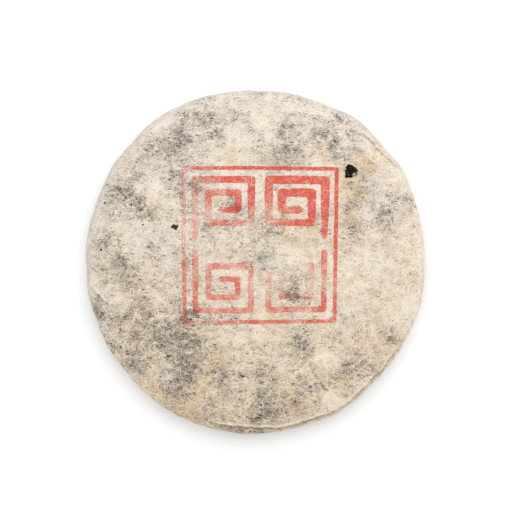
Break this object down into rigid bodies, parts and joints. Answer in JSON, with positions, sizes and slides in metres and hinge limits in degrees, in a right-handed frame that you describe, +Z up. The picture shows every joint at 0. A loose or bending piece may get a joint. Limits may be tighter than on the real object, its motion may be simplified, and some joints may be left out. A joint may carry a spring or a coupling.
{
  "type": "wrapped tea cake",
  "caption": "Round cake of pressed dark tea in thin fibrous paper, domed on top, pleated and hollow underneath, with a small tear that shows the leaves.",
  "frame": {"origin": "on the table, under the middle of the cake's outline", "axes": "+Z up through the domed printed side, +Y towards the upper edge of the print, +X to its right"},
  "size_m": [0.2, 0.2036, 0.0256],
  "materials": {
    "wrapping_paper": "matt handmade bast paper with long fibres, tea stains and a worn red print",
    "pressed_tea": "dry twisted dark leaves, pressed together, slightly glossy"
  },
  "bodies": {
    "root": {"paper_wrap": "wrapping_paper", "tea_cake": "pressed_tea"}
  },
  "joints": []
}
